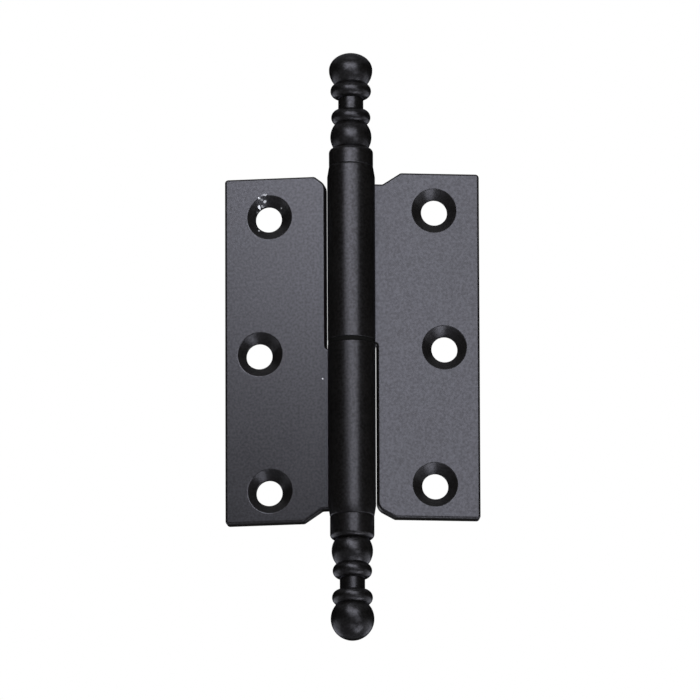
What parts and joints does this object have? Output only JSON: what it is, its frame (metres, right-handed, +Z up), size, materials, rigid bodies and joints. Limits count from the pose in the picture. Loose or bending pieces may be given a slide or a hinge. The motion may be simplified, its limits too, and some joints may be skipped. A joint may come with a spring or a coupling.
{
  "type": "lift-off butt hinge",
  "caption": "Lift-off butt hinge: flat leaves with countersunk screw holes and rolled knuckles on an upright pin, closed by turned ball finials.",
  "frame": {"origin": "axis of the frame leaf's middle screw hole, on the frame leaf's mounting face", "axes": "+Z up along the pin, -Y out of the screw holes towards whoever drives the screws, +X from the frame leaf across the pin to the door leaf"},
  "size_m": [0.05, 0.0155, 0.1194],
  "materials": {
    "black_coat": "satin black coat with a fine grain",
    "pin_steel": "bright turned steel, lightly oiled",
    "black_nylon": "matt black nylon"
  },
  "bodies": {
    "frame_side": {"frame_leaf": "black_coat", "hinge_pin": "pin_steel", "lower_finial": "black_coat"},
    "washer": {"thrust_washer": "black_nylon"},
    "door_side": {"door_leaf": "black_coat", "upper_finial": "black_coat"}
  },
  "joints": [
    {"name": "lift_off", "type": "slide", "parent": "frame_side", "child": "washer", "axis": [0, 0, 1], "range_m": [0, 0.027]},
    {"name": "leaf_swing", "type": "hinge", "parent": "washer", "child": "door_side", "pos_m": [0.01875, -0.00475, 0.0008], "axis": [0, 0, 1], "range_deg": [-193.9, 76.1]}
  ]
}
